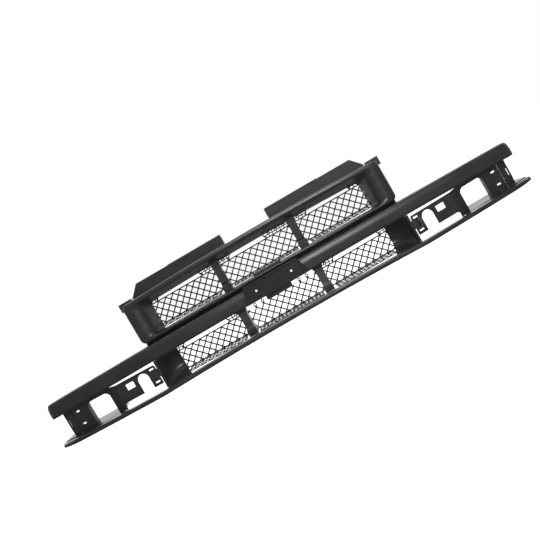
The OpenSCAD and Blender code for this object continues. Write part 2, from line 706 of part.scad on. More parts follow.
module top_flange(s) color(moulded) side(s) difference() {
    union() {
        along_y(flange_y, flange_y + wall) polygon([
            [flange_near, flange_low], [flange_near, 0], [flange_far, 0],
            [flange_far + flange_slant, -31], [flange_far + flange_slant, flange_low]]);
        translate([top_bolt_spacing / 2 - bolt_foot_w / 2, flange_y + 1, -wall])
            cube([bolt_foot_w, flange_foot_y - flange_y - 1, wall]);
        for (x = [flange_near, 150, 290, 340]) translate([x, flange_y + 1, flange_low])
            cube([2.5, 14, -flange_low - 9]);
        flange_saddle();
    }
    translate([top_bolt_spacing / 2, 0, -20]) cylinder(r = bolt_hole_r, h = 40, $fn = 48);
    flange_screw_holes(screw_r + clear);
    lug_screw_holes(screw_r + clear);
}

saddle_x = [105, 225, 320];
saddle_front = 72;    // front end of the saddles ahead of the bolt line
function saddle_z(x) = -51.8 - port_crown * 0.7 * pow(x / bay_far, 2);

// Feet that reach forward from the flange to the top of the port's funnel
module flange_saddle() for (x = saddle_x)
    translate([x - 9, bow(x) - saddle_front, saddle_z(x)])
        cube([18, flange_y - bow(x) + saddle_front + 1, wall]);

module flange_screw_holes(r) for (x = saddle_x, s = [-1, 1])
    translate([s * x, bow(x) - saddle_front + 7, saddle_z(x) - 20]) cylinder(r = r, h = 40, $fn = 32);

lug_screw = [368, -46];
module lug_screw_holes(r) translate([lug_screw[0], 20, lug_screw[1]]) rotate([90, 0, 0])
    cylinder(r = r, h = 50, $fn = 32);

// Extruded strip pressed over the flange's top edge
module flange_seal(s) color(seal_black) side(s) difference() {
    skin = 1.6;
    gap = 0.05;
    foot_x = (top_bolt_spacing - bolt_foot_w) / 2;
    along_y(flange_y - skin, flange_y + wall + skin)
        translate([flange_near + 1, -4.4]) square([seal_end - flange_near, 5.8]);
    along_y(flange_y - gap, flange_y + wall + gap)
        translate([flange_near, -10]) square([seal_end, 10 + gap]);
    translate([foot_x - 0.5, flange_y + 1, -10]) cube([bolt_foot_w + 1, 30, 20]);
}

module top_flange_left() top_flange(-1);
module top_flange_right() top_flange(1);
module flange_seal_left() flange_seal(-1);
module flange_seal_right() flange_seal(1);

tab_x = [386.5, 427];
tab_y = [-36, -2];
tab_top = -30;
tab_h = 25;

// Boxed tab behind the port's upper corner, open at the back, with its bolt hole in the top
module side_tab(s) color(moulded) side(s) difference() {
    union() {
        difference() {
            translate([tab_x[0], tab_y[0], tab_top - tab_h])
                cube([tab_x[1] - tab_x[0], tab_y[1] - tab_y[0], tab_h]);
            translate([tab_x[0] + wall, tab_y[0] + wall, tab_top - tab_h - cut])
                cube([tab_x[1] - tab_x[0] - 2 * wall, tab_y[1] - tab_y[0], tab_h - wall + cut]);
        }
        translate([lug_screw[0] - 12, flange_y + wall + 0.2, tab_top - tab_h])
            cube([tab_x[0] - lug_screw[0] + 13, wall, tab_h - 6]);
    }
    translate([tab_bolt_spacing / 2, -16, tab_top - 10]) cylinder(r = bolt_hole_r, h = 20, $fn = 48);
    lug_screw_holes(screw_r);
}

module side_tab_left() side_tab(-1);
module side_tab_right() side_tab(1);

// ---- Fasteners ----

// Pan-head screw with its head up, its shank pointing down -Z
module screw(length) {
    translate([0, 0, -length]) cylinder(r = screw_r - 0.05, h = length, $fn = 32);
    cylinder(r = screw_head[0], h = screw_head[1], $fn = 32);
}

module flange_screws() color(zinc) for (x = saddle_x, s = [-1, 1])
    translate([s * x, bow(x) - saddle_front + 7, saddle_z(x) + wall + 0.02]) screw(10);

module lug_screws() color(zinc) both_sides()
    translate([lug_screw[0], flange_y + 2 * wall + 0.25, lug_screw[1]]) rotate([-90, 0, 0]) screw(10);

// Screws through the beam, square to its bowed back
beam_screw_x = [165, 385, 605];
beam_screw_z = -194;
module at_beam_screws() for (x = beam_screw_x, s = [-1, 1])
    translate([s * x, bow(x) - beam_ahead, beam_screw_z]) rotate([0, 0, s * asin(x / bow_r)]) children();
module beam_screw_holes(r) at_beam_screws() rotate([90, 0, 0]) translate([0, 0, -20])
    cylinder(r = r + clear, h = 40, $fn = 32);
module beam_screws() color(zinc) at_beam_screws() translate([0, 0.1, 0]) rotate([-90, 0, 0]) screw(12);

// Screws up through each lamp carrier's top tabs into the bar's underside
bar_screw_x = [598, 690];
module at_bar_screws() for (x = bar_screw_x) translate([x, bow(x) - 93, bar_tab_z(x)]) children();
module bar_screw_holes(r) at_bar_screws() translate([0, 0, -10]) cylinder(r = r, h = 25, $fn = 32);
module bar_screws() color(zinc) both_sides() at_bar_screws()
    translate([0, 0, -bar_tab_t - 0.02]) rotate([180, 0, 0]) screw(10);

carrier_screw_z = [-257, -243];
carrier_screw_back = 17;
module at_carrier_screws(x) for (z = carrier_screw_z)
    translate([x, inner_a[1] + carrier_screw_back, z]) rotate([0, 90, 0]) children();
module carrier_screw_holes(r) at_carrier_screws(pillar_x[1] - 10) cylinder(r = r, h = 30, $fn = 32);
module carrier_screws() color(zinc) both_sides() at_carrier_screws(pillar_x[1] - wall - 0.02)
    rotate([180, 0, 0]) screw(14);

shelf_screw_x = [690];
module shelf_screw_holes(r) for (x = shelf_screw_x)
    translate([x, bow(x) - 92, shelf_z - 20]) cylinder(r = r, h = 60, $fn = 32);
function shelf_under(y) = shelf_z + (y - bow(shelf_near + 2) + shelf_front) * tan(shelf_slope);
module shelf_screws() color(zinc) both_sides() for (x = shelf_screw_x)
    translate([x, bow(x) - 92, shelf_under(bow(x) - 92) - 0.4]) rotate([180, 0, 0]) screw(12);

port_surround();
port_divider_left();
port_divider_right();
upper_mesh_left();
upper_mesh_centre();
upper_mesh_right();
upper_floor_left();
upper_floor_centre();
upper_floor_right();
upper_clips();
centre_bar();
bar_beam();
emblem_pad();
lower_divider_left();
lower_divider_right();
lower_mesh_left();
lower_mesh_centre();
lower_mesh_right();
lower_floor_left();
lower_floor_centre();
lower_floor_right();
lower_clips();
pillar_left();
pillar_right();
bottom_lip();
shelf_left();
shelf_right();
lamp_carrier_left();
lamp_carrier_right();
end_flange_left();
end_flange_right();
top_flange_left();
top_flange_right();
flange_seal_left();
flange_seal_right();
side_tab_left();
side_tab_right();
flange_screws();
lug_screws();
beam_screws();
bar_screws();
carrier_screws();
shelf_screws();
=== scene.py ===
"""Looks of the front grille panel: finished meshes, materials, studio light and the camera.

Lengths in the shape functions are millimetres, and become metres when a mesh is made. The frame
is the CAD's: -Y is the front, +Z is up, and "ahead" is a distance in front of the bolt line.
"""
import json
import math

import bmesh
import bpy
from mathutils import Matrix, Vector


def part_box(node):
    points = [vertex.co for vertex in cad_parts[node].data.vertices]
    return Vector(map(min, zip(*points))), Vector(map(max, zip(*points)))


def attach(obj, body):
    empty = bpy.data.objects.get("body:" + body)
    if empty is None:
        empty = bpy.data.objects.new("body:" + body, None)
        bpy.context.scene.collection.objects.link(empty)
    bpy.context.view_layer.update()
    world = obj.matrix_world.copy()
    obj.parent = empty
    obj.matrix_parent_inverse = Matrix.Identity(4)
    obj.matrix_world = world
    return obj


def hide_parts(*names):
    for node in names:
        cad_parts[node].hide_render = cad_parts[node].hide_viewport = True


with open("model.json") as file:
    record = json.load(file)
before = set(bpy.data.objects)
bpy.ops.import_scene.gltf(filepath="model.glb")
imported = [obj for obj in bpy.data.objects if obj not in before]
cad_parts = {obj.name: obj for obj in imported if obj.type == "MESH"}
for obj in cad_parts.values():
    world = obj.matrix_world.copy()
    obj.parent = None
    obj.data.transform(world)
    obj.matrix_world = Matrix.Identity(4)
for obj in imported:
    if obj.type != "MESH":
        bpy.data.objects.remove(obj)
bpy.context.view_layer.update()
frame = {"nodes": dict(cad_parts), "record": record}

MM = 0.001
SIDES = {"left": -1, "right": 1}

# ---- Driving dimensions ----

BOW_R = 2500.0        # radius of the front's sweep, seen from above
WALL = 3.0
CLEAR = 0.1           # keeps a finished surface off its neighbour, or inside the CAD's
PORT = [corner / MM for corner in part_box("port_surround")]
BAR = [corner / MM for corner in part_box("centre_bar")]
LIP = [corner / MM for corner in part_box("bottom_lip")]
PAD = [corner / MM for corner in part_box("emblem_pad")]
PORT_HALF = PORT[1].x
PORT_TOP = PORT[1].z
PORT_BOTTOM = -157.5
PORT_AHEAD = -PORT[0].y
PORT_CROWN = 8.0      # how far the port's top edge falls from the middle to its ends
RIM_R = (15.0, 14.0)  # corner radii of the rim: upper and lower
THROAT_HALF = 341.0   # the throat is the opening at the back of the port's funnel
THROAT_R = (14.0, 9.0)
THROAT_TOP = PORT_TOP - 33.0
THROAT_BOTTOM = PORT_BOTTOM + 10.0
BAR_HALF = BAR[1].x
BAR_TOP = BAR[1].z
BAR_H = 44.0
BAR_DEPTH = 50.0
BAR_AHEAD = -BAR[0].y
BAR_FALL = 13.0       # how far the bar falls from the middle to its tips
LIP_HALF = LIP[1].x
LIP_AHEAD = -LIP[0].y
LIP_TOP = -290.5
LIP_FALL = 10.5       # how far the lip falls from the middle to its corners
LIP_H = 13.0
LIP_CORNER = 425.0
PAD_FOOT = PORT_BOTTOM - 52.8


def mix(a, b, t):
    """Value between a and b at the fraction t."""
    return a + (b - a) * t


def bow(x):
    """How far a front edge has swept back at x."""
    return BOW_R - math.sqrt(BOW_R * BOW_R - x * x)


def sag(x):
    """Fall of the bar at x."""
    return BAR_FALL * (x / BAR_HALF) ** 2


def lip_sag(x):
    """Fall of the lip at x."""
    return LIP_FALL * (min(abs(x), LIP_CORNER) / LIP_CORNER) ** 2


def spaced(a, b, n):
    """n + 1 evenly spaced values from a to b."""
    return [mix(a, b, i / n) for i in range(n + 1)]


def arc(cx, cz, rx, rz, start, end, n):
    """Points on an ellipse's arc, angles in degrees."""
    return [(cx + rx * math.cos(math.radians(a)), cz + rz * math.sin(math.radians(a)))
            for a in spaced(start, end, n)]


def along(points, n):
    """n + 1 points on a smooth curve through the given control points. No value goes below 0."""
    ends = [points[0], *points, points[-1]]
    result = []
    for i in range(n + 1):
        t = i / n * (len(points) - 1)
        k = min(int(t), len(points) - 2)
        u = t - k
        p0, p1, p2, p3 = (Vector(p) for p in ends[k:k + 4])
        point = 0.5 * (2 * p1 + (p2 - p0) * u + (2 * p0 - 5 * p1 + 4 * p2 - p3) * u * u
                       + (3 * p1 - p0 - 3 * p2 + p3) * u ** 3)
        result.append([max(value, 0.0) for value in point])
    return result


# ---- Materials ----

NOISE_SPAN = (0.35, 0.65)     # the part of a noise's values that colour and gloss are mapped from


def material(name, colour, rough, **sockets):
    """A Principled material with the given sockets set, with its nodes, links and shader."""
    made = bpy.data.materials.new(name)
    made.use_nodes = True
    nodes = made.node_tree.nodes
    shader = nodes["Principled BSDF"]
    shader.inputs["Base Color"].default_value = (*colour, 1)
    shader.inputs["Roughness"].default_value = rough
    for socket, value in sockets.items():
        shader.inputs[socket].default_value = value
    return made, nodes, made.node_tree.links, shader


def noise_node(nodes, links, coords, scale, detail=3.0, stretch=(1, 1, 1)):
    """Noise in object coordinates, stretched along an axis for streaks."""
    mapping = nodes.new("ShaderNodeMapping")
    mapping.inputs["Scale"].default_value = stretch
    links.new(coords, mapping.inputs["Vector"])
    noise = nodes.new("ShaderNodeTexNoise")
    noise.inputs["Scale"].default_value = scale
    noise.inputs["Detail"].default_value = detail
    links.new(mapping.outputs["Vector"], noise.inputs["Vector"])
    return noise.outputs["Fac"]


def ranged(nodes, links, value, low, high, span=NOISE_SPAN):
    """Maps a value from its span onto low..high."""
    node = nodes.new("ShaderNodeMapRange")
    node.inputs["From Min"].default_value = span[0]
    node.inputs["From Max"].default_value = span[1]
    node.inputs["To Min"].default_value = low
    node.inputs["To Max"].default_value = high
    links.new(value, node.inputs["Value"])
    return node.outputs["Result"]


def tinted(nodes, links, value, dark, light):
    """Colour that runs from dark to light with a noise value."""
    node = nodes.new("ShaderNodeValToRGB")
    node.color_ramp.elements[0].color = (*dark, 1)
    node.color_ramp.elements[0].position = NOISE_SPAN[0]
    node.color_ramp.elements[1].color = (*light, 1)
    node.color_ramp.elements[1].position = NOISE_SPAN[1]
    links.new(value, node.inputs["Fac"])
    return node.outputs["Color"]


def bumped(nodes, links, height, strength, distance, normal=None):
    """Bump from a height value, on top of an earlier bump if one is given."""
    node = nodes.new("ShaderNodeBump")
    node.inputs["Strength"].default_value = strength
    node.inputs["Distance"].default_value = distance
    links.new(height, node.inputs["Height"])
    if normal:
        links.new(normal, node.inputs["Normal"])
    return node.outputs["Normal"]


def plastic(name, dark, light, rough, grain, grain_depth, specular):
    """Moulded black plastic: cloudy tone, smudged gloss, a fine grain and faint flow streaks."""
    made, nodes, links, shader = material(name, light, rough, **{"Specular IOR Level": specular})
    coords = nodes.new("ShaderNodeTexCoord").outputs["Object"]
    cloud = noise_node(nodes, links, coords, 14, 5)
    streak = noise_node(nodes, links, coords, 22, 4, stretch=(0.35, 1, 2.5))
    fine = noise_node(nodes, links, coords, grain, 2)
    links.new(tinted(nodes, links, cloud, dark, light), shader.inputs["Base Color"])
    links.new(ranged(nodes, links, streak, rough - 0.05, rough + 0.07), shader.inputs["Roughness"])
    waves = bumped(nodes, links, cloud, 0.25, 0.0006)
    links.new(bumped(nodes, links, fine, 0.5, grain_depth, waves), shader.inputs["Normal"])
    return made


def rubber(name):
    """Extruded rubber: lengthwise die lines and a dusty bloom."""
    made, nodes, links, shader = material(name, (0.012, 0.012, 0.012), 0.62)
    coords = nodes.new("ShaderNodeTexCoord").outputs["Object"]
    lines = noise_node(nodes, links, coords, 900, 2, stretch=(0.02, 1, 1))
    bloom = noise_node(nodes, links, coords, 30, 4)
    colour = tinted(nodes, links, bloom, (0.010, 0.010, 0.010), (0.024, 0.024, 0.023))
    links.new(colour, shader.inputs["Base Color"])
    links.new(ranged(nodes, links, bloom, 0.5, 0.72), shader.inputs["Roughness"])
    links.new(bumped(nodes, links, lines, 0.4, 0.0002), shader.inputs["Normal"])
    return made


def zinc(name):
    """Zinc-plated steel: mottled passivation and fine turning marks."""
    made, nodes, links, shader = material(name, (0.6, 0.6, 0.62), 0.34, Metallic=1.0)
    coords = nodes.new("ShaderNodeTexCoord").outputs["Object"]
    mottle = noise_node(nodes, links, coords, 260, 4)
    marks = noise_node(nodes, links, coords, 2600, 2)
    colour = tinted(nodes, links, mottle, (0.42, 0.42, 0.40), (0.68, 0.68, 0.70))
    links.new(colour, shader.inputs["Base Color"])
    links.new(ranged(nodes, links, mottle, 0.28, 0.45), shader.inputs["Roughness"])
    links.new(bumped(nodes, links, marks, 0.3, 0.0001), shader.inputs["Normal"])
    return made


FINISHES = {
    "moulded_black": plastic("moulded_black", (0.012,) * 3, (0.016,) * 3, rough=0.35,
                             grain=1600, grain_depth=0.00012, specular=0.45),
    "insert_black": plastic("insert_black", (0.005,) * 3, (0.008,) * 3, rough=0.44,
                            grain=2000, grain_depth=0.00012, specular=0.35),
    "pad_black": plastic("pad_black", (0.006,) * 3, (0.009,) * 3, rough=0.46,
                         grain=1100, grain_depth=0.0003, specular=0.3),
    "seal_rubber": rubber("seal_rubber"),
    "zinc_screw": zinc("zinc_screw"),
}

# ---- Mesh building ----

SMOOTH_ANGLE = math.radians(32)     # sharper turns than this stay creases in the own meshes
CREASE_ANGLE = math.radians(13)     # and sharper than this in the CAD's solids
FLAT_ANGLE = math.radians(0.3)      # edges that turn less than this are inside one flat face
FACE_WEIGHT = 80                    # how much more a large face counts in the shading
WELD = 0.01           # points closer than this become one
FRONT = (0, -1, 0)


def mesh_of(name, points, faces):
    """A mesh from points in millimetres."""
    mesh = bpy.data.meshes.new(name)
    mesh.from_pydata([Vector(p) * MM for p in points], [], faces)
    mesh.update()
    return mesh


def loft(rings, closed_rings=False, closed_loop=False, caps=False):
    """Points and faces of a skin over rings of equal length."""
    m, n = len(rings), len(rings[0])
    points = [p for ring in rings for p in ring]
    rows = range(m if closed_loop else m - 1)
    columns = range(n if closed_rings else n - 1)
    faces = []
    for i in rows:
        for j in columns:
            a, b = i * n, (i + 1) % m * n
            k = (j + 1) % n
            faces.append((a + j, b + j, b + k, a + k))
    if caps:
        faces.append(tuple(range(n)))
        faces.append(tuple(reversed(range((m - 1) * n, m * n))))
    return points, faces


def joined(*shapes):
    """Several (points, faces) shapes as one."""
    points, faces = [], []
    for more_points, more_faces in shapes:
        start = len(points)
        points += more_points
        faces += [tuple(start + i for i in face) for face in more_faces]
    return points, faces


def block(low, high):
    """Points and faces of a box between two corners."""
    (x0, y0, z0), (x1, y1, z1) = low, high
    points = [(x, y, z) for x in (x0, x1) for y in (y0, y1) for z in (z0, z1)]
    faces = [(0, 1, 3, 2), (4, 6, 7, 5), (0, 4, 5, 1), (2, 3, 7, 6), (0, 2, 6, 4), (1, 5, 7, 3)]
    return points, faces


def prism(outline, low, high, place):
    """Points and faces of a flat outline swept from low to high; place(u, v, w) sets the axes."""
    n = len(outline)
    points = [place(u, v, w) for w in (low, high) for u, v in outline]
    faces = [(i, (i + 1) % n, n + (i + 1) % n, n + i) for i in range(n)]
    return points, faces + [tuple(reversed(range(n))), tuple(range(n, 2 * n))]


def tidy(mesh):
    """Welds doubled points, drops edges inside flat faces and turns every face outwards."""
    bm = bmesh.new()
    bm.from_mesh(mesh)
    bmesh.ops.remove_doubles(bm, verts=bm.verts, dist=WELD * MM)
    bmesh.ops.dissolve_limit(bm, angle_limit=FLAT_ANGLE, verts=bm.verts, edges=bm.edges)
    bmesh.ops.recalc_face_normals(bm, faces=bm.faces)
    bm.to_mesh(mesh)
    bm.free()


def outwards(mesh, towards=None):
    """Turns every face outwards. An open skin's faces turn towards the given direction."""
    bm = bmesh.new()
    bm.from_mesh(mesh)
    bmesh.ops.remove_doubles(bm, verts=bm.verts, dist=WELD * MM)
    bmesh.ops.recalc_face_normals(bm, faces=bm.faces)
    if towards and sum(f.normal.dot(Vector(towards)) * f.calc_area() for f in bm.faces) < 0:
        bmesh.ops.reverse_faces(bm, faces=bm.faces)
    bm.to_mesh(mesh)
    bm.free()


def add_bevel(piece, width, segments=2, angle=35, hard_faces=False):
    """Rounds the edges that turn by more than the angle."""
    bevel = piece.modifiers.new("edges", "BEVEL")
    bevel.width = width * MM
    bevel.segments = segments
    bevel.limit_method = "ANGLE"
    bevel.angle_limit = math.radians(angle)
    bevel.use_clamp_overlap = True
    bevel.harden_normals = hard_faces


def settle(piece):
    """Applies the piece's modifiers, then smooths its edges and keeps its flat faces flat."""
    apply_modifiers(piece)
    piece.data.shade_smooth()
    piece.data.set_sharp_from_angle(angle=SMOOTH_ANGLE)
    weighted = piece.modifiers.new("flat_faces", "WEIGHTED_NORMAL")
    weighted.keep_sharp = True
    weighted.weight = FACE_WEIGHT
    apply_modifiers(piece)


def loose(name, mesh):
    """An object in the scene that isn't a finished piece yet."""
    made = bpy.data.objects.new(name, mesh)
    bpy.context.scene.collection.objects.link(made)
    return made


def finish_piece(piece, slot, nodes):
    """Gives a piece its material, body and place in the frame."""
    piece.data.materials.clear()
    piece.data.materials.append(FINISHES[slot])
    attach(piece, "root")
    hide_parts(*nodes)


def finish_own(piece, node, edge=0.5):
    """Finishes a piece that has a mesh of its own in place of its node's."""
    add_bevel(piece, edge, angle=50)
    settle(piece)
    finish_piece(piece, "moulded_black", [node])


def add_wall(piece, thickness):
    """Thickens an open skin away from the side that its faces look to."""
    wall = piece.modifiers.new("wall", "SOLIDIFY")
    wall.thickness = thickness * MM
    wall.offset = -1
    wall.use_even_offset = True


def solid(name, shape):
    """A closed shape as an object."""
    mesh = mesh_of(name, *shape)
    outwards(mesh)
    return loose(name, mesh)


def skin(name, shape, thickness=WALL, towards=FRONT):
    """An open shape as an object with a wall thickness."""
    mesh = mesh_of(name, *shape)
    outwards(mesh, towards)
    made = loose(name, mesh)
    add_wall(made, thickness)
    return made


def apply_modifiers(piece):
    """Makes the result of a piece's modifiers its mesh."""
    graph = bpy.context.evaluated_depsgraph_get()
    mesh = bpy.data.meshes.new_from_object(piece.evaluated_get(graph))
    piece.modifiers.clear()
    piece.data = mesh


def merged(name, parts):
    """Several objects as one, each with its modifiers applied."""
    bm = bmesh.new()
    for part in parts:
        apply_modifiers(part)
        bm.from_mesh(part.data)
        bpy.data.objects.remove(part)
    mesh = bpy.data.meshes.new(name)
    bm.to_mesh(mesh)
    bm.free()
    return loose(name, mesh)


def cut_by(piece, cutter):
    """Takes a solid away from a piece."""
    apply_modifiers(piece)
    boolean = piece.modifiers.new("cut", "BOOLEAN")
    boolean.operation = "DIFFERENCE"
    boolean.solver = "EXACT"
    boolean.object = cutter
    apply_modifiers(piece)
    bpy.data.objects.remove(cutter)


DRIVE_SIZE = 0.5      # a hexagon drive's radius against its head's
DRIVE_DEPTH = 1.3
HEAD_SHARE = 0.97     # a face at least this large against the largest is a head


def drive_sockets(mesh):
    """Shape of the hexagon drives to cut into a mesh's screw heads, which are its widest faces."""
    widest = max(face.area for face in mesh.polygons)
    drives = []
    for face in mesh.polygons:
        if face.area < HEAD_SHARE * widest:
            continue
        turn, centre = face.normal.to_track_quat("Z", "Y"), face.center / MM
        radius = DRIVE_SIZE * math.sqrt(face.area / math.pi) / MM
        drives.append(prism(arc(0, 0, radius, radius, 0, 300, 5), -DRIVE_DEPTH, 1,
                            lambda u, v, w: centre + turn @ Vector((u, v, w))))
    return joined(*drives)


def moulded_copy(node, slot, edge):
    """A CAD node's solid with its edges rounded as a moulding's are."""
    mesh = frame["nodes"][node].data.copy()
    mesh.name = node
    tidy(mesh)
    piece = loose(node + "_moulded", mesh)
    if slot == "zinc_screw":
        cut_by(piece, solid("drives", drive_sockets(mesh)))
    piece.data.shade_smooth()
    piece.data.set_sharp_from_angle(angle=CREASE_ANGLE)
    add_bevel(piece, edge, hard_faces=True)
    apply_modifiers(piece)
    finish_piece(piece, slot, [node])


# ---- Port surround ----

OUTLINE_STEPS = {"long": 64, "corner": 12, "side": 12}

# Sections from the rim's outer edge to the throat: (mm in from the rim's outline, mm behind the
# rim's face). The last point of each lies on the throat.
SECTIONS = {
    "top": [(0, 42), (0, 10), (0.4, 5), (1.6, 2.4), (4, 0.8), (9, 0), (13, 1.2), (16, 5), (22, 26),
            (33, 70)],
    "side": [(0, 42), (0, 12), (1.5, 6), (5, 2.4), (12, 0.6), (22, 0), (33, 2.6), (43, 9), (53, 24),
             (71, 77)],
    "bottom": [(0, 42), (0, 6), (0.5, 3), (1.4, 1), (3, 0), (5, 0), (6.4, 0.6), (7.4, 2), (8.6, 8),
               (10, 25), (9.4, 50)],
}
SECTION_STEPS = 30
NECK_INSET = 7.0       # how far the neck stops short of the port's ends
NECK_BACK = 25.0       # and how far it lies behind the rim's face
NECK_STEPS = 60
HUMP_HALF = 43.0       # raised block in the middle of the port's sill
HUMP_AHEAD = (99.0, 108.0)
HUMP_TOP = -142.0
SEAM = 2.0             # how far the neck and the hump reach into the port's foot


def framed(half, top, bottom, radii, crown):
    """Rounded outline in X-Z from the upper left, with its outward directions."""
    rt, rb = radii
    long, corner, side = OUTLINE_STEPS["long"], OUTLINE_STEPS["corner"], OUTLINE_STEPS["side"]
    tx, bx = half - rt, half - rb
    tz = top - crown * (tx / half) ** 2 - rt
    bz = bottom - sag(bx) + rb
    upper = [(x, top - crown * (x / half) ** 2, 90) for x in spaced(-tx, tx, long)]
    lower = [(x, bottom - sag(x), -90) for x in spaced(bx, -bx, long)]
    right_arcs = []
    for cx, cz, r, start in ((tx, tz, rt, 90), (bx, bz, rb, 0)):
        angles = spaced(start, start - 90, corner)
        points = arc(cx, cz, r, r, start, start - 90, corner)
        right_arcs.append([(x, z, a) for (x, z), a in zip(points, angles)][1:-1])
    right = [(half, z, 0) for z in spaced(tz, bz, side)]
    half_loop = right_arcs[0] + right + right_arcs[1]
    left_loop = [(-x, z, 180 - a) for x, z, a in reversed(half_loop)]
    return upper + half_loop + lower + left_loop


def port_skin():
    """The port's moulded front: rim, funnel and outer return, as one open skin."""
    outer = framed(PORT_HALF, PORT_TOP, PORT_BOTTOM, RIM_R, PORT_CROWN)
    inner = framed(THROAT_HALF, THROAT_TOP, THROAT_BOTTOM, THROAT_R, PORT_CROWN * 0.7)
    sections = {}
    for name, points in SECTIONS.items():
        reach = max(x for x, _ in points)
        sections[name] = [(x / reach, back) for x, back in along(points, SECTION_STEPS)]
    rings = []
    for (ox, oz, angle), (ix, iz, _) in zip(outer, inner):
        up, out = math.sin(math.radians(angle)), math.cos(math.radians(angle))
        weights = {"top": max(up, 0) ** 2, "side": out * out, "bottom": min(up, 0) ** 2}
        ring = []
        for k in range(SECTION_STEPS + 1):
            t = sum(weights[name] * sections[name][k][0] for name in weights)
            back = sum(weights[name] * sections[name][k][1] for name in weights)
            x, z = mix(ox, ix, t), mix(oz, iz, t)
            ring.append((x, bow(x) - PORT_AHEAD + back, z))
        rings.append(ring)
    return loft(rings, closed_loop=True)


def neck_strip():
    """The recessed wall between the port and the bar."""
    half = PORT_HALF - NECK_INSET
    rings = []
    for x in spaced(-half, half, NECK_STEPS):
        low, high = BAR_TOP - sag(x) + CLEAR / 2, PORT_BOTTOM - sag(x) + SEAM
        y = bow(x) - PORT_AHEAD + NECK_BACK
        rings.append([(x, y + WALL, low), (x, y + WALL, high), (x, y, high), (x, y, low)])
    return loft(rings, closed_rings=True, caps=True)


def build_port():
    """The port's front, the neck below it and the block on its sill, as one piece."""
    front = skin("port_front", port_skin())
    neck = solid("port_neck", neck_strip())
    hump = solid("port_hump", block((-HUMP_HALF, -HUMP_AHEAD[1], PORT_BOTTOM + SEAM),
                                    (HUMP_HALF, -HUMP_AHEAD[0], HUMP_TOP)))
    add_bevel(hump, 2.0, 3)
    piece = merged("port_surround_moulded", [front, neck, hump])
    finish_own(piece, "port_surround")


# ---- Centre bar and lip ----

BAR_CORNER = (12.0, 21.0)     # face's upper edge: depth and height
BAR_HEEL = 7.0                # face's lower edge
END_TOP = (13.5, 20.0)        # outline of the bar's end: length and height of its upper corner
END_HEEL = 4.5
END_SWEEP = 26.0              # the end's rounding seen from above: length
END_SWEEP_SHARE = 0.8         # and its depth against that length
BAR_STEPS = (110, 12)         # stations along the bar and along each rounded end


def rounding(past, length, height):
    """How far an elliptic corner has closed in, `past` into its length."""
    t = min(max(past / length, 0.0), 1.0)
    return height * (1 - math.sqrt(1 - t * t))


def end_stations(half, length, long, corner):
    """Stations along X, gathered towards the two rounded ends."""
    inner = half - length
    right = [inner + length * math.sin(math.radians(a)) for a in spaced(0, 88, corner)]
    return [-x for x in reversed(right)] + spaced(-inner, inner, long)[1:-1] + right


def bar_ring(x):
    """The bar's outside at one station, from its upper back edge over the face to the lower."""
    half = BAR_HALF - CLEAR
    past = abs(x) - half
    top = BAR_TOP - sag(x) - rounding(past + END_TOP[0], *END_TOP)
    bottom = BAR_TOP - BAR_H - sag(x) + rounding(past + END_HEEL, END_HEEL, END_HEEL)
    sweep = rounding(past + END_SWEEP, END_SWEEP, END_SWEEP) * END_SWEEP_SHARE
    front, rear = bow(x) - BAR_AHEAD + sweep, bow(x) - BAR_AHEAD + BAR_DEPTH
    scale = (top - bottom) / BAR_H
    depth, height, heel = BAR_CORNER[0], BAR_CORNER[1] * scale, BAR_HEEL * scale
    upper = [(x, y, z) for y, z in arc(front + depth, top - height, depth, height, 90, 180, 12)]
    middle = [(x, front, z) for z in spaced(top - height, bottom + heel, 4)[1:-1]]
    lower = [(x, y, z) for y, z in arc(front + heel, bottom + heel, heel, heel, 180, 270, 8)]
    return [(x, rear, top), *upper, *middle, *lower, (x, rear, bottom)]


SEAT_FOOT_GAP = 2.2           # groove around the emblem pad, at its foot
SEAT_TOP_INSET = 12.1         # how far the seat narrows from the pad's foot to the port
SEAT_DEPTH = 11.3
SEAT_MARGIN = 5.0             # how far the cut reaches past the bar's face and the pad's foot
SEAT_RISE = 4.0               # and above the port's foot
RIB_X = (76.0, 94.0, 103.0)   # ribs behind the groove: inner edge, outer edge at the top and foot
RIB_Y = (-124.0, -122.0)


def upright(u, v, w):
    """Axes of an outline drawn in X-Z."""
    return u, w, v


def build_bar():
    """The bar with the seat cut for the emblem pad, and the ribs that close the groove behind it."""
    stations = end_stations(BAR_HALF - CLEAR, END_SWEEP, *BAR_STEPS)
    bar = skin("bar_skin", loft([bar_ring(x) for x in stations], caps=True))
    foot, top = PAD[1].x + SEAT_FOOT_GAP, PAD[1].x - SEAT_TOP_INSET
    low, high = PAD_FOOT - SEAT_MARGIN, PORT_BOTTOM + SEAT_RISE
    seat = [(-foot, low), (-top, high), (top, high), (foot, low)]
    cut_by(bar, solid("pad_seat", prism(seat, -BAR_AHEAD - SEAT_MARGIN, -BAR_AHEAD + SEAT_DEPTH,
                                        upright)))
    ribs = []
    inner, outer_top, outer_foot = RIB_X
    rib_top, rib_foot = BAR_TOP - WALL, BAR_TOP - BAR_H + WALL
    corners = ((inner, rib_top), (outer_top, rib_top), (outer_foot, rib_foot), (inner, rib_foot))
    for side_sign in SIDES.values():
        outline = [(side_sign * x, z) for x, z in corners]
        ribs.append(solid("seat_rib", prism(outline, *RIB_Y, upright)))
    bar = merged("centre_bar_moulded", [bar, *ribs])
    finish_own(bar, "centre_bar")


LIP_LEDGE = 34.0       # depth of the ledge behind the band
LIP_STEPS = 180
NOSE_R = (4.0, 3.4, 5.0)      # band's rounding: depth, then height of its upper and lower corner
HOLLOW = (4.8, 8.0)    # hollow behind the band: where it starts at the top and at the foot
TIP_LEN = 60.0         # length over which the lip runs out to its tip
TIP_SHRINK = 0.45      # share of the band's height lost at the tip
TIP_BACK = 16.0        # how far the tip lies back
TIP_DROP = 3.5         # and how far it drops


